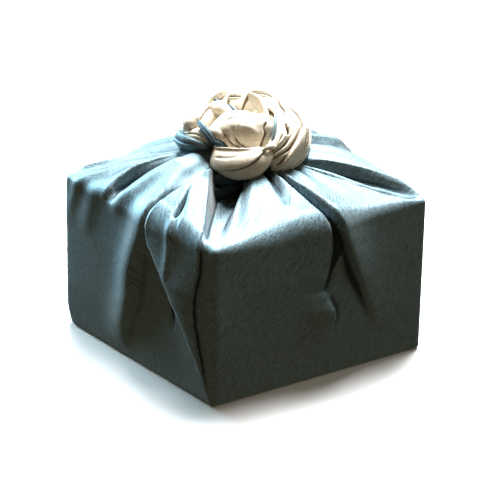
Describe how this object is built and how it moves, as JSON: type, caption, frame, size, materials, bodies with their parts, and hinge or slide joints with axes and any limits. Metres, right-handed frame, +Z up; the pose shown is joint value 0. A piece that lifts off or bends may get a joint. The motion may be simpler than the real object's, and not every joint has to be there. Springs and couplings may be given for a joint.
{
  "type": "furoshiki wrap on a gift box",
  "caption": "Square satin cloth drawn up round a square gift box, gathered over its top and tied in a rosette",
  "frame": {"origin": "middle of the underside, on the surface that the wrap stands on", "axes": "+Z up; X and Y square to the box's sides; the near corner of the picture is at -X -Y"},
  "size_m": [0.2816, 0.2783, 0.2431],
  "materials": {
    "satin": "blue-grey satin with a fine slub, sheen along the folds",
    "ivory": "ivory satin reverse of the same cloth",
    "board": "plain matt paperboard"
  },
  "bodies": {
    "root": {"wrap_cloth": "satin", "gift_box": "board"}
  },
  "joints": []
}
